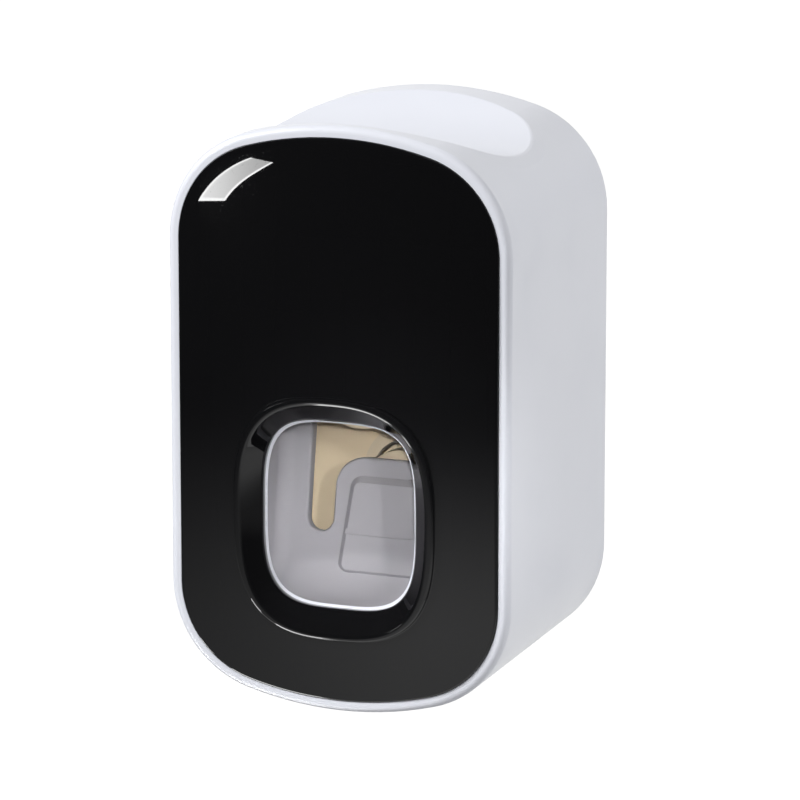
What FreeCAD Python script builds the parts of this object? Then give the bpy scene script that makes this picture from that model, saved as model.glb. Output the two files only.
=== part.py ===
import FreeCAD, Part
import math
import os

from FreeCAD import Vector

# Casing: a lozenge-shaped moulded shell, seen from the front, with its back to the wall
casing_height = 104.0
casing_width = 63.6
casing_depth = 53.0
casing_wall = 2.0
casing_draft = 0.73
corner_radius = 19.5
crown_radius = 64.0
rim_round = 1.2
back_round = 2.0
overrun = 7.0
running_gap = 0.3
fit_gap = 0.02

# Saddle in the top, where the shoulder of a toothpaste tube rests
saddle_radius = 36.2
saddle_floor = 45.0
saddle_depth = 23.8
saddle_wall = 2.0
saddle_round = 0.9
neck_depth = 19.0
neck_radius = 7.0

# Wall bracket with its adhesive pad, and the rails that hang on it
pad_thickness = 1.0
pad_width = 29.0
pad_height = 36.0
bracket_height = 38.0
bracket_base_width = 30.0
bracket_base_thickness = 2.2
bracket_flange_width = 37.0
bracket_flange_thickness = 1.8
bracket_round = 3.0
rail_wall = 2.2
rail_lip_thickness = 1.7
rail_lead_in = 0.5

# Front frame, its snap beads, and the ledge that they catch
ledge_width = 2.4
ledge_thickness = 1.8
frame_thickness = 2.0
frame_gap = 0.1
skirt_thickness = 1.6
skirt_depth = 2.0
bead_length = 10.0
bead_height = 0.9
bead_thickness = 1.4
bead_gap = 0.2
bead_place = 18.0

# Crowned front panel with a funnel window and a rolled lip
panel_gap = 0.1
panel_edge = 1.4
panel_crown = 3.0
panel_skin = 1.8
panel_land = 2.6
panel_round = 0.3
crown_margin = 2.3
window_half_width = 14.3
window_half_height = 16.75
window_centre = -16.7
window_power = 3.56
window_depth = 0.6
flare_half_width = 20.65
flare_half_height = 24.7
flare_centre = -18.7
flare_power = 2.5
flare_depth = 7.0
lip_width = 1.2
lip_height = 0.9
lip_half_width = 17.55
lip_half_height = 20.5
lip_centre = -16.85
lip_power = 2.87
lip_round = 0.45
ring_inset = 0.5
ring_relief = 1.6

# Push lever: a scoop behind the window that hangs from a pin above it
lever_depth = 25.0
lever_wall = 2.0
cheek_wall = 1.5
scoop_margin = 10.8
scoop_floor = -36.0
scoop_top = 3.0
scoop_round = 2.5
heel_round = 9.0
lever_front_gap = 0.2
arm_share = 0.698
lean_share = 0.17
slot_width = 5.0
slot_bottom = -26.5
slot_edge_round = 0.5
tongue_top = -12.7
tongue_shoulder = 5.5
brush_pad_margin = 3.4
brush_pad_flare = 2.0
brush_pad_top = -16.0
brush_pad_bottom = -34.0
brush_pad_height = 1.6
brush_pad_bevel = 1.1
brush_pad_round = 2.2
brush_groove_place = -26.0
brush_groove_width = 1.0
brush_groove_depth = 0.6
pivot_height = 12.0
hub_radius = 4.6
pin_radius = 1.5
pin_tail = 1.4
pin_fit = 0.03
bush_wall = 1.3
bush_flange_radius = 3.9
bush_flange_thickness = 0.4
clip_radius = 3.0
clip_thickness = 0.7
clip_mouth = 1.6
clip_groove = 0.4

# Pump: plunger, guide, piston and barrel on one level line behind the lever
plunger_height = -18.0
plunger_gap = 0.5
head_radius = 6.5
head_dome = 12.0
head_length = 3.0
stem_radius = 3.0
stem_spigot = 2.2
spring_length = 6.2
spring_wire = 0.7
spring_small_radius = 4.4
spring_large_radius = 8.0
spring_turns = 3
spring_seat_gap = 0.08
guide_thickness = 1.9
guide_lip = 0.5
guide_shoulder = 1.0
guide_fit = 0.06
piston_thickness = 2.4
piston_start = 0.6
piston_side_gap = 0.8
seal_width = 1.3
seal_land_depth = 1.4
barrel_radius = 9.0
barrel_wall = 2.2
barrel_end = 1.2
back_gap = 0.4

# Pump housing: face plate, ears, inlet cup, galleries and outlet arm
plate_thickness = 2.0
plate_margin = 9.8
plate_top = 30.0
plate_bottom = -36.0
plate_round = 4.0
ear_thickness = 2.2
ear_radius = 5.0
ear_gap = 0.6
boss_margin = 6.0
boss_top = 26.0
boss_bottom = -30.0
boss_radius = 3.5
screw_tab_radius = 3.2
screw_radius = 1.4
screw_length = 9.0
screw_head_radius = 2.7
screw_head_height = 1.8
cup_wall = 1.9
cup_gap = 0.4
cup_floor = 1.8
cup_floor_top = 30.2
seal_height = 6.6
seal_wall = 3.2
seal_sleeve_wall = 1.1
seal_sleeve_gap = 0.3
seal_lead_in = 0.5
neck_room = 1.8
chamber_radius = 7.4
chamber_wall = 2.1
chamber_bottom = 18.5
chamber_floor = 2.0
duct_radius = 2.0
duct_wall = 1.6
duct_setback = 0.4
inlet_duct_place = -6.0
inlet_duct_height = 21.5
outlet_duct_height = 3.0
arm_radius = 5.0
arm_bore = 2.5
arm_front = 16.0
plug_radius = 3.0
plug_length = 2.4
valve_radius = 6.4
valve_thickness = 1.0
valve_stem = 1.2
valve_knob = 1.9
valve_knob_length = 1.8
valve_port_radius = 1.5
valve_port_circle = 4.0
valve_port_count = 6

# Outlet nozzle on the arm, and the duckbill valve in its spout
nozzle_wall = 1.4
nozzle_overlap = 4.0
nozzle_front = 9.0
spout_depth = 12.5
spout_radius = 4.2
spout_tip = -2.2
duckbill_radius = 3.0
duckbill_collar = 1.6
duckbill_slit = 0.3
duckbill_lip = 0.9
duckbill_drop = 2.4

# Places that follow from the sizes above
back_plane = -(pad_thickness + bracket_base_thickness + bracket_flange_thickness + running_gap)
rim_plane = back_plane - casing_depth
half_width = casing_width / 2
half_height = casing_height / 2
corner_x = half_width - corner_radius
crown_centre = half_height - crown_radius
corner_z = crown_centre + math.sqrt((crown_radius - corner_radius) ** 2 - corner_x ** 2)
corner_turn = math.atan2(corner_z - crown_centre, corner_x)
inner_back = casing_depth - casing_wall
saddle_centre = saddle_floor + saddle_radius
frame_inset = casing_wall + ledge_width + frame_gap
frame_back = panel_edge + frame_thickness
lever_front = frame_back + lever_front_gap
lever_back = lever_depth + lever_wall
scoop_half_width = half_width - scoop_margin
lever_half_width = scoop_half_width + cheek_wall
arm_inner = arm_share * lever_half_width
lean_angle = math.degrees(math.atan(lean_share))
lean_stretch = math.sqrt(1 + lean_share ** 2)
pivot_depth = lever_back + (pivot_height - plunger_height) * lean_share
hub_height = plunger_height + (pivot_height - plunger_height) * lean_stretch
tongue_half_width = arm_inner - slot_width
brush_pad_half_width = tongue_half_width - brush_pad_margin
bush_radius = pin_radius + pin_fit + bush_wall
ear_inner = lever_half_width + ear_gap
ear_outer = ear_inner + ear_thickness
head_front = lever_back + plunger_gap
head_back = head_front + head_length
guide_front = head_back + spring_length
guide_back = guide_front + guide_thickness
plate_front = guide_front + guide_lip
plate_back = plate_front + plate_thickness
plate_half_width = half_width - plate_margin
boss_place = half_width - boss_margin
guide_radius = barrel_radius + guide_shoulder
piston_front = guide_back + piston_start
piston_back = piston_front + piston_thickness
barrel_back = inner_back - back_gap
duct_outer = duct_radius + duct_wall
duct_depth = barrel_back - duct_setback - duct_outer
seal_radius = neck_radius + seal_wall
cup_radius = seal_radius + fit_gap
cup_top = saddle_centre - saddle_radius - saddle_wall - cup_gap
sleeve_radius = neck_radius + seal_sleeve_wall
chamber_top = cup_floor_top - cup_floor
across = Vector(1, 0, 0)
inward = Vector(0, 1, 0)
upward = Vector(0, 0, 1)


def deep(depth):
    """Place along Y of a point this far behind the front rim."""
    return rim_plane + depth


def box(x0, x1, depth0, depth1, z0, z1):
    return Part.makeBox(x1 - x0, depth1 - depth0, z1 - z0, Vector(x0, deep(depth0), z0))


def rod(radius, depth0, depth1, x, z):
    """Cylinder from front to back."""
    return Part.makeCylinder(radius, depth1 - depth0, Vector(x, deep(depth0), z), inward)


def post(radius, z0, z1, x, depth):
    """Upright cylinder."""
    return Part.makeCylinder(radius, z1 - z0, Vector(x, deep(depth), z0), upward)


def axle(radius, x0, x1, depth, z):
    """Cylinder from left to right."""
    return Part.makeCylinder(radius, x1 - x0, Vector(x0, deep(depth), z), across)


def fuse(first, *others):
    return first.fuse(list(others)).removeSplitter()


def mirrored(shape):
    return shape.mirror(Vector(0, 0, 0), across)


def pair(shape):
    return [shape, mirrored(shape)]


def outline(inset, depth):
    """Casing outline moved inward: straight sides, round corners and a shallow crown."""
    y = deep(depth)
    side = half_width - inset
    small = corner_radius - inset
    top = half_height - inset
    middle = corner_turn / 2
    join_x = corner_x + small * math.cos(corner_turn)
    join_z = corner_z + small * math.sin(corner_turn)
    mid_x = corner_x + small * math.cos(middle)
    mid_z = corner_z + small * math.sin(middle)
    edges = []
    for up in (1, -1):
        right_corner = [(side, corner_z), (mid_x, mid_z), (join_x, join_z)]
        crown = [(join_x, join_z), (0, top), (-join_x, join_z)]
        left_corner = [(-join_x, join_z), (-mid_x, mid_z), (-side, corner_z)]
        for arc in (right_corner, crown, left_corner):
            edges.append(Part.Arc(*[Vector(up * x, y, up * z) for x, z in arc]).toShape())
        edges.append(Part.makeLine(Vector(-up * side, y, up * corner_z), Vector(-up * side, y, -up * corner_z)))
    return Part.Wire(edges)


def slab(inset, depth0, depth1):
    return Part.Face(outline(inset, depth0)).extrude(Vector(0, depth1 - depth0, 0))


def draft_at(depth):
    return casing_draft * depth / casing_depth


def tapered(inset, depth0, depth1):
    """Slab whose sides follow the draft of the casing."""
    ends = [outline(inset + draft_at(depth), depth) for depth in (depth0, depth1)]
    return Part.makeLoft(ends, True, True)


def oval(half_wide, half_tall, centre, power, depth):
    """Closed superelliptic curve for the window."""
    points = []
    for turn in range(0, 360, 10):
        c = math.cos(math.radians(turn))
        s = math.sin(math.radians(turn))
        x = half_wide * math.copysign(abs(c) ** (2 / power), c)
        z = half_tall * math.copysign(abs(s) ** (2 / power), s)
        points.append(Vector(x, deep(depth), centre + z))
    curve = Part.BSplineCurve()
    curve.interpolate(Points=points, PeriodicFlag=True)
    return Part.Wire(curve.toShape())


def in_front_of_crown(shift):
    """Everything ahead of the crowned panel face, moved back by a shift."""
    wide = half_width + crown_margin - casing_wall
    tall = half_height + crown_margin - casing_wall
    face = Part.BezierSurface()
    face.increase(2, 2)
    for i in range(3):
        for j in range(3):
            middle = i == 1 and j == 1
            depth = shift - (4 * panel_crown if middle else 0)
            face.setPole(i + 1, j + 1, Vector(wide * (i - 1), deep(depth), tall * (j - 1)))
    return face.toShape().extrude(Vector(0, -(panel_crown + overrun), 0))


def edges_at(shape, depth):
    """Edges that lie wholly on one plane across the object."""
    y = deep(depth)
    flat = [(edge, edge.BoundBox) for edge in shape.Edges]
    return [edge for edge, bounds in flat if max(abs(bounds.YMin - y), abs(bounds.YMax - y)) < fit_gap]


def make_casing():
    body = tapered(0, 0, casing_depth)
    body = body.makeFillet(back_round, edges_at(body, casing_depth))
    body = body.makeFillet(rim_round, edges_at(body, 0))
    saddle_span = Vector(-casing_width, deep(saddle_depth), saddle_centre)
    under_saddle = Part.makeCylinder(saddle_radius + saddle_wall, 2 * casing_width, saddle_span, across)
    saddle = Part.makeCylinder(saddle_radius, 2 * casing_width, saddle_span, across)
    skin = body.common(under_saddle).cut(slab(casing_wall, -overrun, panel_edge))
    shell = body.cut(tapered(casing_wall, -overrun, inner_back))
    ledge = slab(casing_wall, panel_edge, panel_edge + ledge_thickness)
    ledge = ledge.cut(slab(casing_wall + ledge_width, 0, panel_edge + overrun))
    shell = fuse(shell, ledge, skin).cut(saddle)
    shell = shell.makeFillet(saddle_round, saddle_edges(shell))
    for x in (-boss_place, boss_place):
        for z in (boss_bottom, boss_top):
            shell = shell.fuse(rod(boss_radius, plate_back, inner_back + casing_wall / 2, x, z))
            shell = shell.cut(rod(screw_radius + fit_gap, plate_back - overrun, plate_back + screw_length, x, z))
    shell = fuse(shell, *make_rails())
    neck_hole = post(sleeve_radius + seal_sleeve_gap, cup_top, saddle_centre, 0, neck_depth)
    return shell.cut(neck_hole)


def saddle_edges(shell):
    """Edges where the saddle breaks through the outside of the casing."""
    found = []
    for edge in shell.Edges:
        points = edge.discretize(5)
        reach = [math.hypot(p.y - deep(saddle_depth), p.z - saddle_centre) for p in points]
        if max(abs(r - saddle_radius) for r in reach) < fit_gap:
            found.append(edge)
    return found


def make_rails():
    """Two L-shaped rails and a stop bar on the back, which drop over the bracket."""
    inner = bracket_flange_width / 2 + running_gap
    outer = inner + rail_wall
    lip_inner = bracket_base_width / 2 + running_gap
    lip_front = bracket_flange_thickness + 2 * running_gap
    bottom = -bracket_height / 2
    stop = bracket_height / 2 + fit_gap
    lip_depth = casing_depth + lip_front
    top = stop + rail_wall
    root = casing_depth - casing_wall / 2
    rails = []
    for sign in (1, -1):
        section = [(inner, root), (outer, root), (outer, lip_depth + rail_lip_thickness)]
        section += [(lip_inner, lip_depth + rail_lip_thickness), (lip_inner, lip_depth), (inner, lip_depth)]
        points = [Vector(sign * x, deep(depth), bottom) for x, depth in section]
        rail = Part.Face(Part.makePolygon(points + points[:1])).extrude(Vector(0, 0, top - bottom))
        rails.append(rail)
    rails.append(box(-outer, outer, root, lip_depth + rail_lip_thickness, stop, top))
    return rails


def rounded_plate(width, height, y0, y1, radius):
    plate = Part.makeBox(width, y1 - y0, height, Vector(-width / 2, y0, -height / 2))
    corners = [e for e in plate.Edges if e.BoundBox.YLength > e.BoundBox.XLength + e.BoundBox.ZLength]
    return plate.makeFillet(radius, corners)


def make_wall_bracket():
    base_front = -(pad_thickness + bracket_base_thickness)
    flange_front = base_front - bracket_flange_thickness
    base = rounded_plate(bracket_base_width, bracket_height, base_front, -pad_thickness, bracket_round)
    flange = rounded_plate(bracket_flange_width, bracket_height, flange_front, base_front, bracket_round)
    rim = [e for e in flange.Edges if abs(e.BoundBox.YMax - flange_front) < fit_gap]
    return fuse(base, flange.makeChamfer(rail_lead_in, rim))


def make_adhesive_pad():
    return rounded_plate(pad_width, pad_height, -pad_thickness, 0, bracket_round)


def make_front_frame():
    plate = slab(frame_inset, panel_edge, frame_back)
    skirt = slab(frame_inset, frame_back, frame_back + skirt_depth)
    skirt = skirt.cut(slab(frame_inset + skirt_thickness, panel_edge, frame_back + overrun))
    bead_front = panel_edge + ledge_thickness + bead_gap
    side = half_width - frame_inset
    beads = []
    for z in (-bead_place, bead_place):
        bead = box(side - skirt_thickness, side + bead_height, bead_front, bead_front + bead_thickness,
                   z - bead_length / 2, z + bead_length / 2)
        catch = [e for e in bead.Edges if e.BoundBox.XMin > side and e.BoundBox.YMin > deep(bead_front)]
        beads += pair(bead.makeChamfer(bead_height / 2, catch))
    ring = [oval(window_half_width + grow, window_half_height + grow, window_centre, window_power, depth)
            for grow, depth in ((-ring_inset, panel_edge), (ring_relief - ring_inset, frame_back))]
    return fuse(plate, skirt, *beads).cut(Part.makeLoft(ring, True, True))


def make_front_panel():
    edge_inset = casing_wall + panel_gap
    ahead = -(panel_crown + overrun)
    panel = slab(edge_inset, ahead, panel_edge).cut(in_front_of_crown(0))
    panel = panel.makeFillet(panel_round, edges_ahead(panel, 0))
    hollow = slab(edge_inset + panel_land, ahead, panel_edge)
    panel = panel.cut(hollow.cut(in_front_of_crown(panel_skin)))
    lip = oval(lip_half_width + lip_width, lip_half_height + lip_width, lip_centre, lip_power, ahead)
    lip = Part.Face(lip).extrude(Vector(0, panel_edge - ahead, 0)).cut(in_front_of_crown(-lip_height))
    flare = oval(flare_half_width, flare_half_height, flare_centre, flare_power, window_depth - flare_depth)
    throat = oval(window_half_width, window_half_height, window_centre, window_power, window_depth)
    funnel = Part.makeLoft([flare, throat], True, True)
    mouth = Part.Face(throat).extrude(Vector(0, panel_edge + overrun, 0))
    lip = lip.cut(funnel).cut(mouth)
    lip = lip.makeFillet(lip_round, [edge for edge in edges_ahead(lip, 0) if edge.isClosed()])
    return panel.cut(funnel).cut(mouth).fuse(lip)


def edges_ahead(shape, depth):
    """Edges that lie wholly in front of a depth."""
    return [edge for edge in shape.Edges if edge.BoundBox.YMax < deep(depth)]


def make_push_lever():
    lever = make_scoop()
    arm = box(arm_inner, lever_half_width, lever_depth, lever_back, scoop_top - hub_radius, hub_height)
    hub = axle(hub_radius, arm_inner, lever_half_width, pivot_depth, pivot_height)
    lever = fuse(lever, *pair(leaning(arm)), *pair(hub), *pair(cheek_plate()))
    lever = lever.cut(leaning(lever_opening())).removeSplitter()
    lever = lever.makeFillet(slot_edge_round, slot_edges(lever))
    lever = lever.fuse(leaning(brush_pad())).removeSplitter()
    bore = axle(bush_radius, -casing_width, casing_width, pivot_depth, pivot_height)
    return lever.cut(bore)


def leaning(shape):
    """Turn an upright part of the lever to the lean of its plate, about the line where it meets the plunger."""
    turned = shape.copy()
    turned.rotate(Vector(0, deep(lever_back), plunger_height), across, -lean_angle)
    return turned


def plate_at(z, thickness):
    """Depth of the leaning plate at a height, this far in front of its back."""
    return lever_back - thickness * lean_stretch + (z - plunger_height) * lean_share


def make_scoop():
    """Bowl of the lever: leaning plate, floor and cheeks, rounded where they meet."""
    outer = scoop_block(lever_half_width, lever_front, 0, scoop_floor - cheek_wall, scoop_top, lever_wall)
    inner = scoop_block(scoop_half_width, lever_front - overrun, lever_wall, scoop_floor, scoop_top + overrun, 0)
    return outer.cut(inner)


def scoop_block(half_wide, front, thickness, floor, top, grow):
    corner = [(front, floor), (front, top), (plate_at(top, thickness), top), (plate_at(floor, thickness), floor)]
    points = [Vector(-half_wide, deep(depth), z) for depth, z in corner]
    block = Part.Face(Part.makePolygon(points + points[:1])).extrude(Vector(2 * half_wide, 0, 0))
    heel = [e for e in block.Edges if e.BoundBox.ZMax < floor + fit_gap and e.BoundBox.YMin > deep(front) + fit_gap]
    block = block.makeFillet(heel_round + grow, heel)
    sides = [e for e in block.Edges if e.BoundBox.XLength < fit_gap and e.BoundBox.YMax > deep(front) + fit_gap
             and e.BoundBox.ZMin < top - fit_gap]
    return block.makeFillet(scoop_round + grow, sides)


def slot_edges(lever):
    """Front edges of the plate's cut-out, from one slot round the tongue to the other."""
    edges = []
    for edge in lever.Edges:
        ends = [vertex.Point for vertex in edge.Vertexes]
        ends.append(edge.valueAt((edge.FirstParameter + edge.LastParameter) / 2))
        ahead = [abs(end.y - deep(plate_at(end.z, lever_wall))) < fit_gap for end in ends]
        near = [abs(end.x) < arm_inner + fit_gap and end.z < scoop_top for end in ends]
        if all(ahead) and all(near):
            edges.append(edge)
    return edges


def brush_pad():
    """Raised pad on the tongue that widens downward, with a groove across it."""
    front = lever_depth - brush_pad_height
    low = brush_pad_half_width + brush_pad_flare
    corner = [(-low, brush_pad_bottom), (low, brush_pad_bottom)]
    corner += [(brush_pad_half_width, brush_pad_top), (-brush_pad_half_width, brush_pad_top)]
    points = [Vector(x, deep(front), z) for x, z in corner]
    face = Part.Face(Part.makePolygon(points + points[:1]))
    pad = face.extrude(Vector(0, brush_pad_height + lever_wall / 2, 0))
    upright = [e for e in pad.Edges if e.BoundBox.YLength > brush_pad_height]
    pad = pad.makeFillet(brush_pad_round, upright)
    pad = pad.makeChamfer(brush_pad_bevel, [e for e in pad.Edges if e.BoundBox.YMax < deep(lever_depth)])
    groove = box(-arm_inner, arm_inner, front - overrun, front + brush_groove_depth,
                 brush_groove_place - brush_groove_width / 2, brush_groove_place + brush_groove_width / 2)
    return pad.cut(groove)


def cheek_plate():
    """Side web that carries the load from the scoop up to the hub."""
    slope_start = lever_front + (lever_depth - lever_front) / 2
    low = scoop_top - hub_radius
    corner = [(plate_at(low, 0), low), (slope_start, low), (slope_start, scoop_top)]
    corner += [(pivot_depth - hub_radius, pivot_height), (pivot_depth, pivot_height)]
    points = [Vector(scoop_half_width, deep(depth), z) for depth, z in corner]
    return Part.Face(Part.makePolygon(points + points[:1])).extrude(Vector(cheek_wall, 0, 0))


def lever_opening():
    """Cut-out in the plate: two slots with round ends and a tongue between them."""
    y = deep(lever_depth - scoop_round)
    slot_round = slot_width / 2
    slot_end = slot_bottom + slot_round
    shoulder = tongue_top - tongue_shoulder
    bend = tongue_shoulder * math.cos(math.radians(45))
    edges = []
    top = pivot_height + overrun
    for s in (1, -1):
        slot_middle = tongue_half_width + slot_round
        bend_x = tongue_half_width - tongue_shoulder + bend
        edges.append(Part.makeLine(Vector(s * arm_inner, y, top), Vector(s * arm_inner, y, slot_end)))
        edges.append(Part.Arc(Vector(s * arm_inner, y, slot_end), Vector(s * slot_middle, y, slot_bottom),
                              Vector(s * tongue_half_width, y, slot_end)).toShape())
        edges.append(Part.makeLine(Vector(s * tongue_half_width, y, slot_end),
                                   Vector(s * tongue_half_width, y, shoulder)))
        edges.append(Part.Arc(Vector(s * tongue_half_width, y, shoulder), Vector(s * bend_x, y, shoulder + bend),
                              Vector(s * (tongue_half_width - tongue_shoulder), y, tongue_top)).toShape())
    flat = tongue_half_width - tongue_shoulder
    edges.append(Part.makeLine(Vector(-flat, y, tongue_top), Vector(flat, y, tongue_top)))
    edges.append(Part.makeLine(Vector(-arm_inner, y, top), Vector(arm_inner, y, top)))
    outline_wire = Part.Wire(Part.__sortEdges__(edges))
    return Part.Face(outline_wire).extrude(Vector(0, scoop_round + lever_wall + hub_radius + overrun, 0))


def make_lever_bush(sign):
    """Flanged bearing sleeve pressed into one hub of the lever."""
    body = axle(bush_radius - fit_gap, arm_inner, lever_half_width, pivot_depth, pivot_height)
    flange = axle(bush_flange_radius, lever_half_width, lever_half_width + bush_flange_thickness,
                  pivot_depth, pivot_height)
    bore = axle(pin_radius + pin_fit, 0, casing_width, pivot_depth, pivot_height)
    bush = fuse(body, flange).cut(bore)
    return bush if sign > 0 else mirrored(bush)


def make_lever_pin():
    clip_start = ear_outer + fit_gap
    end = clip_start + clip_thickness + pin_tail
    pin = axle(pin_radius, -end, end, pivot_depth, pivot_height)
    ring = axle(pin_radius + overrun, clip_start, clip_start + clip_thickness + fit_gap, pivot_depth, pivot_height)
    ring = ring.cut(axle(pin_radius - clip_groove, 0, casing_width, pivot_depth, pivot_height))
    for groove in pair(ring):
        pin = pin.cut(groove)
    return pin


def make_pin_clip(sign):
    """Open ring that snaps into the groove near one end of the pin."""
    start = ear_outer + fit_gap
    clip = axle(clip_radius, start, start + clip_thickness, pivot_depth, pivot_height)
    clip = clip.cut(axle(pin_radius - clip_groove + fit_gap, 0, casing_width, pivot_depth, pivot_height))
    mouth = box(0, casing_width, pivot_depth - clip_mouth / 2, pivot_depth + clip_mouth / 2,
                pivot_height - overrun, pivot_height)
    clip = clip.cut(mouth)
    return clip if sign > 0 else mirrored(clip)


def make_plunger():
    """Mushroom-shaped rod: domed head, stem, and a spigot for the piston."""
    half_reach = head_radius / 2
    rim = head_front + head_dome - math.sqrt(head_dome ** 2 - head_radius ** 2)
    half_way = head_front + head_dome - math.sqrt(head_dome ** 2 - half_reach ** 2)
    steps = [(head_radius, rim), (head_radius, head_back), (stem_radius, head_back)]
    steps += [(stem_radius, piston_front), (stem_spigot, piston_front), (stem_spigot, piston_back)]
    steps += [(0, piston_back), (0, head_front)]
    points = [Vector(x, deep(depth), plunger_height) for x, depth in steps]
    dome = Part.Arc(points[-1], Vector(half_reach, deep(half_way), plunger_height), points[0]).toShape()
    profile = Part.Wire([dome] + Part.makePolygon(points).Edges)
    return Part.Face(profile).revolve(points[-1], inward, 360)


def make_piston():
    piston_radius = barrel_radius - piston_side_gap
    disc = rod(piston_radius, piston_front, piston_back, 0, plunger_height)
    middle = (piston_front + piston_back) / 2
    land = rod(piston_radius + overrun, middle - seal_width / 2, middle + seal_width / 2, 0, plunger_height)
    land = land.cut(rod(piston_radius - seal_land_depth, 0, casing_depth, 0, plunger_height))
    return disc.cut(land).cut(rod(stem_spigot + fit_gap, 0, casing_depth, 0, plunger_height))


def make_piston_seal():
    middle = (piston_front + piston_back) / 2
    half = seal_width / 2 - fit_gap
    ring = rod(barrel_radius - fit_gap, middle - half, middle + half, 0, plunger_height)
    land_radius = barrel_radius - piston_side_gap - seal_land_depth
    return ring.cut(rod(land_radius + fit_gap, 0, casing_depth, 0, plunger_height))


def make_plunger_guide():
    disc = rod(guide_radius - fit_gap, guide_front, guide_back, 0, plunger_height)
    return disc.cut(rod(stem_radius + guide_fit, 0, casing_depth, 0, plunger_height))


def spring_point(turn):
    """Place and direction of the wire after this many turns of the cone."""
    span = spring_length - spring_wire - 2 * spring_seat_gap
    grow = spring_large_radius - spring_small_radius
    part_way = turn / spring_turns
    radius = spring_small_radius + grow * part_way
    angle = 2 * math.pi * turn
    depth = head_back + spring_seat_gap + spring_wire / 2 + span * part_way
    place = Vector(radius * math.cos(angle), deep(depth), plunger_height + radius * math.sin(angle))
    around = 2 * math.pi * radius * spring_turns
    heading = Vector(grow * math.cos(angle) - around * math.sin(angle), span,
                     grow * math.sin(angle) + around * math.cos(angle))
    return place, heading.normalize()


def arc_from(start, heading, end):
    """Arc that leaves a point along a heading and ends at another point."""
    chord = end - start
    along = Vector(chord).normalize()
    lean = math.acos(min(1, heading.dot(along)))
    side = (heading - along * heading.dot(along)).normalize()
    middle = (start + end) * 0.5 + side * (chord.Length / 2 * math.tan(lean / 2))
    return Part.Arc(start, middle, end).toShape()


def biarc(start, heading, end, end_heading):
    """Two arcs that join two places with their directions."""
    chord = end - start
    total = heading + end_heading
    bend = 2 * (1 - heading.dot(end_heading))
    reach = chord.dot(total)
    step = (math.sqrt(reach ** 2 + bend * chord.dot(chord)) - reach) / bend
    join = (start + heading * step + end - end_heading * step) * 0.5
    back = arc_from(end, end_heading * -1, join)
    return [arc_from(start, heading, join), back]


def make_return_spring():
    """Conical spring of round wire, wound as one tube with straight ends."""
    places = [spring_point(quarter / 4) for quarter in range(4 * spring_turns + 1)]
    edges = []
    for (start, heading), (end, end_heading) in zip(places, places[1:]):
        edges += biarc(start, heading, end, end_heading)
    first, first_heading = places[0]
    last, last_heading = places[-1]
    flat_first = Vector(first_heading.x, 0, first_heading.z)
    lead = first - first_heading * spring_wire
    tail = last + last_heading * spring_wire
    edges = [Part.makeLine(lead, first)] + edges + [Part.makeLine(last, tail)]
    path = Part.Wire(Part.__sortEdges__(edges))
    ring = Part.Wire(Part.makeCircle(spring_wire / 2, lead, flat_first))
    points = [spring_point(step / 64)[0] for step in range(64 * spring_turns + 1)]
    gaps = [(points[i] - points[j]).Length - spring_wire
            for i in range(len(points)) for j in range(i + 32, len(points))]
    print("least gap between spring turns", round(min(gaps), 2))
    return path.makePipeShell([ring], True, False)


def make_pump_housing():
    plate = Part.makeBox(2 * plate_half_width, plate_thickness, plate_top - plate_bottom,
                         Vector(-plate_half_width, deep(plate_front), plate_bottom))
    corners = [e for e in plate.Edges if e.BoundBox.YLength > fit_gap]
    solid = plate.makeFillet(plate_round, corners)
    for z in (boss_bottom, boss_top):
        tab = box(0, boss_place, plate_front, plate_back, z - screw_tab_radius, z + screw_tab_radius)
        solid = solid.fuse(pair(tab.fuse(rod(screw_tab_radius, plate_front, plate_back, boss_place, z))))
    ear = axle(ear_radius, ear_inner, ear_outer, pivot_depth, pivot_height)
    ear = ear.fuse(box(ear_inner, ear_outer, pivot_depth, plate_back, pivot_height - ear_radius,
                       pivot_height + ear_radius))
    ear = ear.fuse(box(0, ear_outer, plate_front, plate_back, pivot_height - ear_radius,
                       pivot_height + ear_radius))
    solid = solid.fuse(pair(ear))
    barrel = rod(barrel_radius + barrel_wall, plate_front, barrel_back, 0, plunger_height)
    cup = post(cup_radius + cup_wall, chamber_top, cup_top, 0, neck_depth)
    chamber = post(chamber_radius + chamber_wall, chamber_bottom - chamber_floor, chamber_top, 0, neck_depth)
    gallery = rod(plug_radius + duct_wall, neck_depth, barrel_back, inlet_duct_place, inlet_duct_height)
    arm = rod(arm_radius, arm_front, barrel_back, 0, outlet_duct_height)
    inlet_duct = post(duct_outer, plunger_height, inlet_duct_height, inlet_duct_place, duct_depth)
    outlet_duct = post(duct_outer, plunger_height, outlet_duct_height, 0, duct_depth)
    solid = fuse(solid, barrel, cup, chamber, gallery, arm, inlet_duct, outlet_duct)
    return cut_housing(solid)


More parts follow.
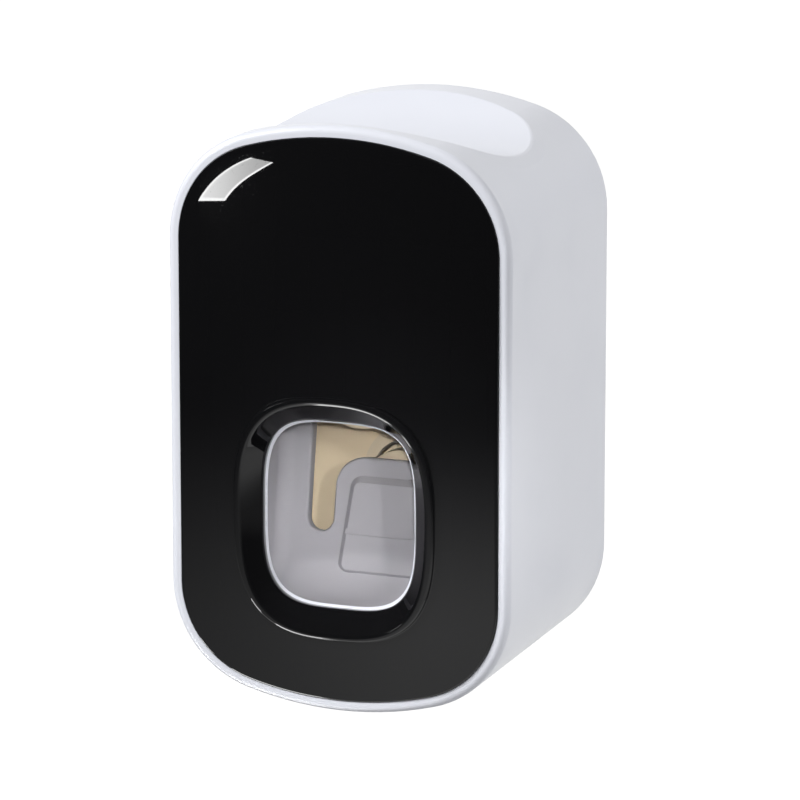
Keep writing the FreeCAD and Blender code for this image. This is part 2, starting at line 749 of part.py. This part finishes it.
def cut_housing(solid):
    """Bores, seats and galleries of the pump housing."""
    seat = cup_top - seal_height
    cuts = [
        rod(barrel_radius, plate_front, barrel_back - barrel_end, 0, plunger_height),
        rod(guide_radius, plate_front - overrun, guide_back, 0, plunger_height),
        post(cup_radius, seat, cup_top + overrun, 0, neck_depth),
        post(neck_radius + neck_room, cup_floor_top, cup_top, 0, neck_depth),
        post(chamber_radius, chamber_bottom, chamber_top, 0, neck_depth),
        post(valve_stem + fit_gap, chamber_bottom, cup_floor_top + overrun, 0, neck_depth),
        rod(duct_radius, neck_depth, barrel_back, inlet_duct_place, inlet_duct_height),
        rod(arm_bore, arm_front - overrun, barrel_back, 0, outlet_duct_height),
        post(duct_radius, plunger_height, inlet_duct_height, inlet_duct_place, duct_depth),
        post(duct_radius, plunger_height, outlet_duct_height, 0, duct_depth),
        axle(pin_radius + fit_gap, -casing_width, casing_width, pivot_depth, pivot_height),
    ]
    for x, z in plug_places():
        cuts.append(rod(plug_radius, barrel_back - plug_length, barrel_back + overrun, x, z))
    for port in range(valve_port_count):
        turn = 2 * math.pi * port / valve_port_count
        x = valve_port_circle * math.cos(turn)
        depth = neck_depth + valve_port_circle * math.sin(turn)
        cuts.append(post(valve_port_radius, chamber_bottom, cup_floor_top + overrun, x, depth))
    for x in (-boss_place, boss_place):
        for z in (boss_bottom, boss_top):
            cuts.append(rod(screw_radius + fit_gap, plate_front - overrun, plate_back + overrun, x, z))
    return solid.cut(cuts)


def plug_places():
    return [(inlet_duct_place, inlet_duct_height), (0, outlet_duct_height)]


def make_gallery_plug(x, z):
    """Push-in plug that closes the back end of a gallery."""
    return rod(plug_radius - fit_gap, barrel_back - plug_length, barrel_back, x, z)


def make_neck_seal():
    """Soft flanged sleeve that grips the threaded neck of a tube."""
    top = saddle_floor - seal_lead_in / 2
    flange = post(seal_radius, cup_top - seal_height, cup_top, 0, neck_depth)
    sleeve = post(sleeve_radius, cup_top, top, 0, neck_depth)
    bore = post(neck_radius, cup_top - seal_height - overrun, top + overrun, 0, neck_depth)
    lead = Part.makeCone(neck_radius, neck_radius + seal_lead_in, seal_lead_in,
                         Vector(0, deep(neck_depth), top - seal_lead_in), upward)
    return fuse(flange, sleeve).cut(bore).cut(lead)


def make_inlet_valve():
    """Umbrella valve: a soft disc under the ports, with a stem pulled up through the floor."""
    under = chamber_top - fit_gap
    disc = post(valve_radius, under - valve_thickness, under, 0, neck_depth)
    stem = post(valve_stem, under, cup_floor_top + fit_gap, 0, neck_depth)
    knob = Part.makeCone(valve_knob, valve_stem / 2, valve_knob_length,
                         Vector(0, deep(neck_depth), cup_floor_top + fit_gap), upward)
    return fuse(disc, stem, knob)


def make_outlet_nozzle():
    radius = arm_radius + fit_gap + nozzle_wall
    body = rod(radius, nozzle_front, arm_front + nozzle_overlap, 0, outlet_duct_height)
    front = [e for e in body.Edges if e.BoundBox.YMax < deep(nozzle_front) + fit_gap]
    body = body.makeFillet(nozzle_wall, front)
    spout = post(spout_radius, spout_tip, outlet_duct_height, 0, spout_depth)
    nozzle = fuse(body, spout)
    cuts = [
        rod(arm_radius + fit_gap, arm_front, arm_front + nozzle_overlap + overrun, 0, outlet_duct_height),
        rod(arm_bore, spout_depth, arm_front, 0, outlet_duct_height),
        post(arm_bore, spout_tip - overrun, outlet_duct_height, 0, spout_depth),
        post(duckbill_radius, spout_tip - overrun, spout_tip + duckbill_collar, 0, spout_depth),
    ]
    return nozzle.cut(cuts)


def make_outlet_valve():
    """Duckbill: a soft collar whose two lips close to a slit below the spout."""
    seat = spout_tip + duckbill_collar - fit_gap
    tip = spout_tip - duckbill_drop + duckbill_collar
    collar = post(duckbill_radius - fit_gap, spout_tip, seat, 0, spout_depth)
    bill = post(duckbill_radius - fit_gap, tip, spout_tip, 0, spout_depth)
    y = deep(spout_depth)
    wedge = [Vector(-duckbill_radius, y - duckbill_radius, spout_tip)]
    wedge.append(Vector(-duckbill_radius, y - duckbill_lip, tip))
    wedge.append(Vector(-duckbill_radius, y + duckbill_lip, tip))
    wedge.append(Vector(-duckbill_radius, y + duckbill_radius, spout_tip))
    wedge = Part.Face(Part.makePolygon(wedge + wedge[:1])).extrude(Vector(2 * duckbill_radius, 0, 0))
    bore = post(arm_bore - duckbill_slit, spout_tip, seat + overrun, 0, spout_depth)
    slit = box(-arm_bore / 2, arm_bore / 2, spout_depth - duckbill_slit / 2, spout_depth + duckbill_slit / 2,
               tip - overrun, seat + overrun)
    return collar.fuse(bill.common(wedge)).cut(bore).cut(slit).removeSplitter()


def make_pump_screw(x, z):
    head = rod(screw_head_radius, plate_front - screw_head_height, plate_front, x, z)
    crown = [e for e in head.Edges if e.BoundBox.YMax < deep(plate_front) - fit_gap]
    head = head.makeChamfer(screw_head_height / 2, crown)
    shank = rod(screw_radius, plate_front, plate_back + screw_length - screw_radius, x, z)
    return fuse(head, shank)


def save(name, *shapes):
    shape = shapes[0] if len(shapes) == 1 else Part.makeCompound(list(shapes))
    shape.exportStep("parts/" + name + ".step")


os.makedirs("parts", exist_ok=True)
save("adhesive_pad", make_adhesive_pad())
save("wall_bracket", make_wall_bracket())
save("casing", make_casing())
save("front_frame", make_front_frame())
save("front_panel", make_front_panel())
save("push_lever", make_push_lever())
save("lever_bush_right", make_lever_bush(1))
save("lever_bush_left", make_lever_bush(-1))
save("lever_pin", make_lever_pin())
save("pin_clip_right", make_pin_clip(1))
save("pin_clip_left", make_pin_clip(-1))
save("plunger", make_plunger())
save("piston", make_piston())
save("piston_seal", make_piston_seal())
save("plunger_guide", make_plunger_guide())
save("return_spring", make_return_spring())
save("pump_housing", make_pump_housing())
save("neck_seal", make_neck_seal())
save("inlet_valve", make_inlet_valve())
save("outlet_nozzle", make_outlet_nozzle())
save("outlet_valve", make_outlet_valve())
for place_name, (plug_x, plug_z) in zip(("upper", "lower"), plug_places()):
    save("gallery_plug_" + place_name, make_gallery_plug(plug_x, plug_z))
for side_name, screw_x in (("left", -boss_place), ("right", boss_place)):
    for level_name, screw_z in (("lower", boss_bottom), ("upper", boss_top)):
        save("pump_screw_" + level_name + "_" + side_name, make_pump_screw(screw_x, screw_z))
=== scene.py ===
import math

import bpy
import numpy as np
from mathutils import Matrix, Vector


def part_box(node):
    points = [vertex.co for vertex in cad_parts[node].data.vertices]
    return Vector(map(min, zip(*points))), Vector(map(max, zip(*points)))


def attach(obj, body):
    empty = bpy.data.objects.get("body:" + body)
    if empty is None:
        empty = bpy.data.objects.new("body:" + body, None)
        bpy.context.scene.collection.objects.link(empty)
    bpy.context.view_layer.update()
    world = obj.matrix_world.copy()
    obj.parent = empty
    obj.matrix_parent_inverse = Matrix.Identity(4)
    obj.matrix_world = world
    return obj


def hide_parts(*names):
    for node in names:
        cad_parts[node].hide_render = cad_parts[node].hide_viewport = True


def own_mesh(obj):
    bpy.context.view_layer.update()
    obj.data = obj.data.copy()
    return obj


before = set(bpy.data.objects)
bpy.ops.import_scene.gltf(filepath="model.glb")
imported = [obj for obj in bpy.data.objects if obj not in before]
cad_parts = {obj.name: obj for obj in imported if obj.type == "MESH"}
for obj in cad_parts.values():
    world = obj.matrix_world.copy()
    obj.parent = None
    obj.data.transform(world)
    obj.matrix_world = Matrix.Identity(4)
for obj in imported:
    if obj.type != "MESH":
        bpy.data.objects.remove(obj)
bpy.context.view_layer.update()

# Adhesive pad: a rectangle of grey acrylic foam tape with pressure-sensitive glue on both faces.
# It is die-cut from a roll. One face holds the wall bracket, the other is pressed on a tiled wall.


class Shade:
    """One output of a material's nodes. Sums of shades and numbers become Math nodes."""

    def __init__(self, tree, socket=None):
        self.tree = tree
        self.socket = socket

    def node(self, kind, values, out=0, **settings):
        made = self.tree.nodes.new("ShaderNode" + kind)
        for name, value in settings.items():
            setattr(made, name, value)
        for key, value in values.items():
            if isinstance(value, Shade):
                self.tree.links.new(value.socket, made.inputs[key])
            else:
                made.inputs[key].default_value = value
        return Shade(self.tree, made.outputs[out])

    def sum(self, operation, *values):
        return self.node("Math", dict(enumerate(values)), operation=operation)

    def __add__(self, other):
        return self.sum("ADD", self, other)

    def __sub__(self, other):
        return self.sum("SUBTRACT", self, other)

    def __rsub__(self, other):
        return self.sum("SUBTRACT", other, self)

    def __mul__(self, other):
        return self.sum("MULTIPLY", self, other)

    __radd__ = __add__
    __rmul__ = __mul__

    def place(self):
        return self.node("TexCoord", {}, out="Object")

    def noise(self, where, scale, detail=2.0, roughness=0.5):
        values = {"Vector": where, "Scale": scale, "Detail": detail, "Roughness": roughness}
        return self.node("TexNoise", values)

    def ramp(self, value, low, high, start=0.0, end=1.0):
        values = {"Value": value, "From Min": low, "From Max": high, "To Min": start, "To Max": end}
        return self.node("MapRange", values, interpolation_type="SMOOTHSTEP")

    def mix(self, share, first, second):
        colours = {0: share, 6: (*first, 1), 7: (*second, 1)}
        return self.node("Mix", colours, out=2, data_type="RGBA")

    def bump(self, height, strength, distance):
        values = {"Height": height, "Strength": strength, "Distance": distance}
        return self.node("Bump", values)


def material(name):
    """New material, with a shade to build its nodes from and its shader."""
    made = bpy.data.materials.new(name)
    made.use_nodes = True
    tree = made.node_tree
    return made, Shade(tree), tree.nodes["Principled BSDF"]


def feed(shader, **inputs):
    """Link shades to the shader's sockets, and set plain values on them."""
    for name, value in inputs.items():
        socket = shader.inputs[name.replace("_", " ").title()]
        if isinstance(value, Shade):
            value.tree.links.new(value.socket, socket)
        else:
            socket.default_value = value


def dress(paint, *names):
    """Give carried-over nodes this material alone."""
    for name in names:
        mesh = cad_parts[name].data
        mesh.materials.clear()
        mesh.materials.append(paint)


foam_tape, shade, shader = material("foam_tape")
cells = shade.noise(shade.place(), 2600.0, 3.0)
feed(shader,
     base_color=shade.mix(cells, (0.42, 0.43, 0.44), (0.56, 0.57, 0.58)),
     roughness=0.7 + 0.2 * cells,
     normal=shade.bump(cells, 0.5, 0.0002))
dress(foam_tape, "adhesive_pad")

# Casing, front frame and wall bracket: white ABS, injection-moulded with a satin gloss.
# The bracket's flange takes the rails on the casing's back, and the frame snaps into the casing's mouth.
# Faint clouds are in the resin, fine grain is from the mould, and handling has dulled it in patches.
white_shell, shade, shader = material("white_shell")
place = shade.place()
grain = shade.noise(place, 5200.0)
cloud = shade.noise(place, 38.0, 3.0)
handled = shade.ramp(shade.noise(place, 90.0, 6.0, 0.6), 0.45, 0.75)
feed(shader,
     base_color=shade.mix(cloud, (0.765, 0.783, 0.850), (0.790, 0.806, 0.868)),
     roughness=0.26 + 0.10 * handled + 0.06 * grain,
     normal=shade.bump(grain, 0.04, 0.0001))
shader.inputs["IOR"].default_value = 1.5
dress(white_shell, "casing", "front_frame", "wall_bracket")

# Front panel: black acrylic, crowned and polished, with a rolled lip round a funnel-shaped window.
# It is moulded in one and glued into the casing's mouth over the front frame, flush with the rim.
# Its face is shaded as an even dome, so that what it mirrors stays straight near the corners.
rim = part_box("casing")[0].y
turn = np.linspace(0, 2 * np.pi, 512, endpoint=False)
crown_x, crown_z, crown_rise = 0.0321, 0.0523, 0.0030
side_x, corner_x, corner_z, corner_r, top_r = 0.0318, 0.0123, 0.03075, 0.0195, 0.064
top_centre = 0.052 - top_r


def crown(x, z):
    """Depth of the crowned face behind the casing's rim."""
    return -crown_rise * (1 - (x / crown_x) ** 2) * (1 - (z / crown_z) ** 2)


def oval(half_x, half_z, centre, power):
    """Window curve, as x and z for each turn."""
    c, s = np.cos(turn), np.sin(turn)
    r = ((abs(c) / half_x) ** power + (abs(s) / half_z) ** power) ** (-1 / power)
    return np.array([r * c, centre + r * s])


def outside(x, z):
    """How far a point is outside the casing's outline: straight sides, round corners, shallow top."""
    x, z = abs(x), abs(z)
    turned = math.atan2(corner_z - top_centre, corner_x)
    at_corner = (x > corner_x) & (np.arctan2(z - corner_z, x - corner_x) < turned)
    far = np.where(at_corner, np.hypot(x - corner_x, z - corner_z) - corner_r,
                   np.hypot(x, z - top_centre) - top_r)
    return np.where(z < corner_z, x - side_x, far)


def outline(inset, centre):
    """Casing outline moved inward, met by a ray from the window's centre for each turn."""
    near, away = np.zeros_like(turn), np.full_like(turn, 0.12)
    for step in range(40):
        r = (near + away) / 2
        inside = outside(r * np.cos(turn), centre + r * np.sin(turn)) < -inset
        near, away = np.where(inside, r, near), np.where(inside, away, r)
    return np.array([near * np.cos(turn), centre + near * np.sin(turn)])


def at(flat, depth):
    """Points of a curve in the front view, this far behind the casing's rim."""
    return np.array([flat[0], rim + depth + 0 * flat[0], flat[1]])


def solid(name, verts, faces, paint):
    """Smooth mesh with creases at its sharp edges, as an object in the scene."""
    mesh = bpy.data.meshes.new(name)
    mesh.from_pydata(verts.tolist(), [], faces)
    mesh.shade_smooth()
    mesh.set_sharp_from_angle(angle=math.radians(50))
    mesh.materials.append(paint)
    thing = bpy.data.objects.new(name, mesh)
    bpy.context.scene.collection.objects.link(thing)
    return thing


panel_back, edge_inset, edge_round = 0.00139, 0.0021, 0.0003
lip_centre, lip_rise, lip_round, foot_round = -0.01685, 0.0009, 0.00045, 0.0002
funnel_front, funnel_depth = -0.0064, 0.0070
edge = outline(edge_inset, lip_centre)
lip_edge = oval(0.01875, 0.0217, lip_centre, 2.87)
flare = oval(0.02065, 0.0247, -0.0187, 2.5)
throat = oval(0.0143, 0.01675, -0.0167, 3.56)
inward = lip_edge - edge
inward = inward / np.hypot(*inward)

# The rings run from the panel's back over its round edge and crowned face to the foot of the lip.
rings = [at(edge, panel_back)]
for a in np.linspace(0, 1, 5) * math.pi / 2:
    flat = edge + inward * edge_round * (1 - math.cos(a))
    rings.append(at(flat, crown(*flat) + edge_round * (1 - math.sin(a))))
first, last = edge + inward * edge_round, lip_edge - inward * foot_round
face_rings = []
for share in np.linspace(0, 1, 40)[1:]:
    flat = first + (last - first) * share
    face_rings.append(len(rings))
    rings.append(at(flat, crown(*flat)))
for a in np.linspace(0, 1, 5)[1:] * math.pi / 2:
    flat = last + inward * foot_round * math.sin(a)
    rings.append(at(flat, crown(*flat) - foot_round * (1 - math.cos(a))))

# Then they go over the lip's outer round and its narrow top to the brink of the funnel.
for a in np.linspace(0, 1, 9) * math.pi / 2:
    flat = lip_edge + inward * lip_round * (1 - math.cos(a))
    rings.append(at(flat, crown(*flat) - lip_rise + lip_round * (1 - math.sin(a))))
slide = np.full_like(turn, 0.6)
for step in range(30):
    flat = flare + (throat - flare) * slide
    slide = (crown(*flat) - lip_rise - funnel_front) / funnel_depth
brink = flare + (throat - flare) * slide
start, ledge = lip_edge + inward * lip_round, brink - inward * lip_round
for share in (0.33, 0.66):
    flat = start + (ledge - start) * share
    rings.append(at(flat, crown(*flat) - lip_rise))

# Last they roll over the brink, down the funnel to its throat, and to the panel's back again.
top, corner = at(ledge, crown(*ledge) - lip_rise), at(brink, funnel_front + funnel_depth * slide)
slope = at(throat, funnel_front + funnel_depth) - corner
slope = slope / np.sqrt((slope ** 2).sum(0))
down = corner + slope * lip_round
for t in np.linspace(0, 1, 9):
    rings.append(top * (1 - t) ** 2 + corner * 2 * t * (1 - t) + down * t ** 2)
mouth = at(throat, 0.0005)
rings += [down + (mouth - down) * t for t in np.linspace(0, 1, 9)[1:]]
rings += [at(throat, depth) for depth in (0.0006, 0.0007, panel_back)]

black_panel, shade, shader = material("black_panel")
place = shade.place()
dust = shade.ramp(shade.noise(place, 5200.0, 1.0), 0.74, 0.80)
smear = shade.ramp(shade.noise(place, 60.0, 5.0, 0.6), 0.50, 0.80)
feed(shader,
     base_color=shade.mix(dust, (0.0045, 0.0045, 0.0050), (0.010, 0.010, 0.011)),
     roughness=0.010 + 0.012 * smear + 0.08 * dust,
     normal=shade.bump(dust, 0.02, 0.00002))
shader.inputs["IOR"].default_value = 1.46

around = turn.size
faces = []
for k in range(len(rings)):
    low, high = k * around, (k + 1) % len(rings) * around
    for n in range(around):
        after = (n + 1) % around
        faces.append((low + n, low + after, high + after, high + n))
panel = solid("crowned_panel", np.concatenate([ring.T for ring in rings]), faces, black_panel)
facing = np.zeros((len(rings), around, 3))
for k in face_rings:
    x, y, z = rings[k]
    facing[k, :, 0] = 2 * crown_rise * x / crown_x ** 2
    facing[k, :, 1] = -1
    facing[k, :, 2] = 2 * crown_rise * z / crown_z ** 2
facing /= np.maximum(np.linalg.norm(facing, axis=2, keepdims=True), 1e-9)
panel.data.normals_split_custom_set_from_vertices(facing.reshape(-1, 3).tolist())
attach(panel, "dispenser")
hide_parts("front_panel")

# Push lever: a scoop of white acetal with a cut-out plate, a tongue and a raised pad for the brush.
# It is moulded in one, and hangs on a steel pin between the ears of the pump housing.
white_lever, shade, shader = material("white_lever")
place = shade.place()
grain = shade.noise(place, 3600.0)
cloud = shade.noise(place, 70.0, 4.0)
# The base colour is a light grey, darker than white acetal: painted shade for the deep window the lever sits
# in.
feed(shader,
     base_color=shade.mix(cloud, (0.445, 0.435, 0.465), (0.485, 0.475, 0.500)),
     roughness=0.36 + 0.12 * cloud + 0.06 * grain,
     normal=shade.bump(grain, 0.05, 0.0001))
dress(white_lever, "push_lever")

# Pump housing, outlet nozzle and gallery plugs: cream polypropylene, injection-moulded.
# Four screws hold the housing to bosses in the casing. The nozzle and the plugs are pressed into it.
cream_pump, shade, shader = material("cream_pump")
place = shade.place()
grain = shade.noise(place, 3000.0)
cloud = shade.noise(place, 55.0, 4.0)
feed(shader,
     base_color=shade.mix(cloud, (0.91, 0.75, 0.525), (0.96, 0.80, 0.57)),
     roughness=0.40 + 0.12 * cloud + 0.06 * grain,
     normal=shade.bump(grain, 0.06, 0.0001))
dress(cream_pump, "pump_housing", "outlet_nozzle", "gallery_plug_upper", "gallery_plug_lower")

# Plunger, piston, plunger guide and lever bushes: acetal in a cream like the housing's, turned from bar.
# The piston is fixed on the plunger, the guide sits in the barrel's mouth, the bushes in the lever's eyes.
acetal, shade, shader = material("acetal")
grain = shade.noise(shade.place(), 2400.0)
feed(shader,
     base_color=shade.mix(grain, (0.84, 0.71, 0.52), (0.88, 0.75, 0.56)),
     roughness=0.35 + 0.15 * grain,
     normal=shade.bump(grain, 0.05, 0.0001))
dress(acetal, "plunger", "piston", "plunger_guide", "lever_bush_right", "lever_bush_left")

# Valves, piston seal and neck seal: soft pale silicone, pressed in hot moulds with a dull skin.
# They are stretched or pushed into their seats in the housing, the piston and the nozzle, with no glue.
silicone, shade, shader = material("silicone")
grain = shade.noise(shade.place(), 1800.0, 3.0)
feed(shader,
     base_color=shade.mix(grain, (0.56, 0.57, 0.56), (0.64, 0.65, 0.64)),
     roughness=0.55 + 0.15 * grain,
     normal=shade.bump(grain, 0.10, 0.0001))
dress(silicone, "piston_seal", "neck_seal", "inlet_valve", "outlet_valve")

# Lever pin, pin clips and pump screws: bright steel, ground along its length or plated with zinc.
# The pin runs through the housing's ears with a clip at each end, and the screws bite in the bosses.
steel, shade, shader = material("steel")
along = shade.node("Mapping", {"Vector": shade.place(), "Scale": (200.0, 3000.0, 3000.0)})
scratch = shade.noise(along, 1.0, 4.0)
feed(shader,
     base_color=shade.mix(scratch, (0.62, 0.62, 0.63), (0.74, 0.74, 0.75)),
     roughness=0.30 + 0.20 * scratch,
     metallic=1.0)
dress(steel, "lever_pin", "pin_clip_right", "pin_clip_left", "pump_screw_lower_left",
      "pump_screw_lower_right", "pump_screw_upper_left", "pump_screw_upper_right")

# Return spring: conical coil of drawn stainless wire between the plunger's head and the guide.
# Its large end rests on the guide. In the pump it shortens as the plunger goes in, but here it is one fixed
# coil on the dispenser.
spring_wire, shade, shader = material("spring_wire")
drawn = shade.noise(shade.place(), 1500.0, 3.0)
feed(shader,
     base_color=shade.mix(drawn, (0.82, 0.79, 0.74), (0.92, 0.89, 0.84)),
     roughness=0.50 + 0.15 * drawn,
     metallic=1.0)
wire, small, large, coils = 0.00035, 0.0044, 0.0080, 3
near_end, far_end, axis_z = -0.02737, -0.02203, -0.018
wound = np.linspace(-0.03, coils + 0.02, 260)
reach = np.clip(wound / coils, 0, 1)
wide = small + (large - small) * reach
spin = 2 * np.pi * wound
depth = near_end + (far_end - near_end) * reach
spine = np.array([wide * np.cos(spin), depth, wide * np.sin(spin) + axis_z]).T
along = np.gradient(spine, axis=0)
along /= np.linalg.norm(along, axis=1)[:, None]
outward = np.array([np.cos(spin), 0 * spin, np.sin(spin)]).T
outward -= along * (outward * along).sum(1)[:, None]
outward /= np.linalg.norm(outward, axis=1)[:, None]
across = np.cross(along, outward)
sides, length = 12, wound.size
verts = [spine + wire * (math.cos(a) * outward + math.sin(a) * across)
         for a in np.linspace(0, 2 * np.pi, sides, endpoint=False)]
faces = []
for k in range(sides):
    low, high = k * length, (k + 1) % sides * length
    faces += [(low + n, low + n + 1, high + n + 1, high + n) for n in range(length - 1)]
faces.append([k * length for k in range(sides)])
faces.append([k * length + length - 1 for k in reversed(range(sides))])
spring = solid("wound_spring", np.concatenate(verts), faces, spring_wire)
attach(spring, "dispenser")
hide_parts("return_spring")
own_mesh(spring)

# Studio floor and world: a pale floor far below the dispenser, which hangs at wall height.
# Both look white, and the world gives a low even light.
floor_half, floor_level = 6, -0.55


def seen(shade):
    """One for rays of the camera, of mirrors and of glass, and nothing for light that bounces."""
    rays = ("Is Camera Ray", "Is Glossy Ray", "Is Transmission Ray")
    camera_ray, glossy_ray, clear_ray = [shade.node("LightPath", {}, out=ray) for ray in rays]
    return shade.sum("MINIMUM", camera_ray + glossy_ray + clear_ray, 1.0)


corners = [(x * floor_half, y * floor_half, floor_level) for x, y in ((-1, -1), (1, -1), (1, 1), (-1, 1))]
floor_mesh = bpy.data.meshes.new("floor")
floor_mesh.from_pydata(corners, [], [(0, 1, 2, 3)])
floor = bpy.data.objects.new("floor", floor_mesh)
bpy.context.scene.collection.objects.link(floor)
pale_floor, shade, shader = material("pale_floor")
feed(shader,
     base_color=(0.28, 0.28, 0.28, 1),
     roughness=0.9,
     emission_color=0.96 * seen(shade),
     emission_strength=1.0)
floor_mesh.materials.append(pale_floor)

world = bpy.data.worlds.new("studio")
bpy.context.scene.world = world
world.use_nodes = True
feed(world.node_tree.nodes["Background"],
     color=(1, 1, 1, 1),
     strength=0.21 + 0.79 * seen(Shade(world.node_tree)))

# Studio lamps: three snoots light the inside of the window and leave the rim round it alone.
# Soft square lamps light the casing from the left, the right, above and behind.


def hang(name, data, spot, target):
    """Put a lamp or a camera in the scene, pointed at its target."""
    thing = bpy.data.objects.new(name, data)
    thing.location = spot
    thing.rotation_euler = (Vector(target) - Vector(spot)).to_track_quat("-Z", "Y").to_euler()
    bpy.context.scene.collection.objects.link(thing)
    return thing


def snoot(name, spot, target, cone, power):
    data = bpy.data.lights.new(name, "SPOT")
    data.energy = power
    data.spot_size = math.radians(cone)
    data.spot_blend = 0.4
    data.shadow_soft_size = 0.015
    hang(name, data, spot, target).visible_glossy = False


def lamp(name, spot, target, size, power, mirrored):
    data = bpy.data.lights.new(name, "AREA")
    data.shape = "RECTANGLE"
    data.size = data.size_y = size
    data.energy = power
    hang(name, data, spot, target).visible_glossy = mirrored


snoot("window_snoot", (0.36, -0.93, 0.235), (0, -0.045, -0.017), 2.7, 21.0)
snoot("key_snoot", (0.67, -1.03, 0.34), (0, -0.045, -0.017), 2.5, 11.0)
snoot("floor_snoot", (0.10, -0.54, 0.62), (0.002, -0.050, -0.028), 3.6, 8.5)
lamp("front_lamp", (0.80, -0.80, 0.50), (0, -0.04, -0.01), 0.5, 3.9, False)
lamp("left_lamp", (-0.88, -0.70, 0.62), (0, -0.03, 0), 0.5, 17.0, True)
lamp("top_lamp", (-0.60, 0.25, 0.85), (0, -0.03, 0.02), 0.6, 0.5, True)
lamp("right_lamp", (1.0, 0.20, 0.10), (0, -0.03, 0), 0.6, 3.0, True)
lamp("back_lamp", (0.2, 1.25, 0.45), (0, -0.03, 0), 0.6, 4.0, False)

# Studio tent: a black dome in front of the dispenser, which only mirrors see and which keeps the panel dark.
# It glows a little low down on the right, where the panel turns grey towards its foot.
tent_radius, tent_y, tent_wide, tent_tall = 0.8, -0.05, 57, 35


def quads(wide, tall):
    """Faces of a grid of points that is given row by row."""
    return [(n, n + 1, n + 1 + wide, n + wide) for n in range(wide * (tall - 1)) if n % wide < wide - 1]


def card(name, points, faces, tone, strength):
    """Sheet that shows in mirrors only. Its material's shader is handed back."""
    paint, shade, shader = material(name)
    feed(shader,
         base_color=(tone, tone, tone, 1),
         roughness=1.0,
         emission_color=(1, 1, 1, 1),
         emission_strength=strength)
    mesh = bpy.data.meshes.new(name)
    mesh.from_pydata(points, [], faces)
    mesh.materials.append(paint)
    thing = bpy.data.objects.new(name, mesh)
    bpy.context.scene.collection.objects.link(thing)
    thing.visible_camera = False
    thing.visible_diffuse = False
    thing.visible_shadow = False
    return shade, shader


dome = []
for level in np.radians(np.linspace(-80, 88, tent_tall)):
    flat = tent_radius * math.cos(level)
    for way in np.radians(np.linspace(-140, 140, tent_wide)):
        dome.append((flat * math.sin(way), tent_y - flat * math.cos(way), tent_radius * math.sin(level)))
shade, shader = card("dark_tent", dome, quads(tent_wide, tent_tall), 0.002, 1.0)
place = shade.place()
across, height = [shade.node("SeparateXYZ", {"Vector": place}, out=axis) for axis in ("X", "Z")]
low_glow = shade.ramp(height, -0.16, -0.36, 0.0, 0.55)
right_glow = shade.ramp(across, -0.62, -0.05, 0.60, 1.5)
fade = 1 - 0.6 * shade.ramp(height, -0.46, -0.66)
feed(shader, emission_color=low_glow * right_glow * fade)

# Studio cards: a bent strip light with a bright rim, which the panel mirrors at its upper left.
# A low bar and a low line give the glints on the lip of the window.
outer = np.array([(-0.5262, -0.0012), (-0.4984, 0.0141), (-0.4652, 0.0272), (-0.4338, 0.0361),
                  (-0.4027, 0.0431)])
inner = np.array([(-0.4589, 0.0049), (-0.4394, 0.0153), (-0.4156, 0.0243), (-0.3895, 0.0328),
                  (-0.3557, 0.0424)])
strip_y, rim_share = -0.65, 0.09
knots = np.linspace(0, 1, len(outer))
fine = np.concatenate([[0, 0.05], np.linspace(0.1, 1, 12)])
outer, inner = [np.array([np.polyval(np.polyfit(knots, line[:, n], 3), fine) for n in (0, 1)])
                for line in (outer, inner)]
grid = [(x, strip_y, z) for share in (0, rim_share, 1 - rim_share, 1)
        for x, z in (outer + (inner - outer) * share).T]
columns = fine.size
strip = quads(columns, 4)
middle = [quad for quad in strip if columns < quad[0] < 2 * columns - 1]
shade, shader = card("strip_light", grid, middle, 1.0, 1.0)
across = shade.node("SeparateXYZ", {"Vector": shade.place()})
feed(shader, emission_color=shade.ramp(across, -0.526, -0.356, 19.5, 10.5))
card("strip_rim", grid, [quad for quad in strip if quad not in middle], 1.0, 26.0)

low_bar = [(-0.203, -0.442, -0.384), (-0.237, -0.427, -0.379), (-0.269, -0.414, -0.369),
           (-0.297, -0.405, -0.355), (-0.197, -0.082, -0.553), (-0.258, -0.049, -0.526),
           (-0.310, -0.022, -0.493), (-0.351, -0.002, -0.461)]
low_line = [(-0.341, -0.394, -0.320), (-0.370, -0.393, -0.284),
            (-0.418, -0.094, -0.400), (-0.462, -0.090, -0.342)]
card("low_bar", low_bar, quads(4, 2), 1.0, 11.0)
card("low_line", low_line, quads(2, 2), 1.0, 11.0)

# Camera: a long lens that looks from the right and a little from above.
# The view is left at the standard transform.
lens = bpy.data.cameras.new("camera")
lens.sensor_width = 36.0
lens.lens = 235.76
bpy.context.scene.camera = hang("camera", lens, (0.33437, -0.87486, 0.20605), (0.011626, -0.0583, 0.005034))
bpy.context.scene.view_settings.view_transform = "Standard"
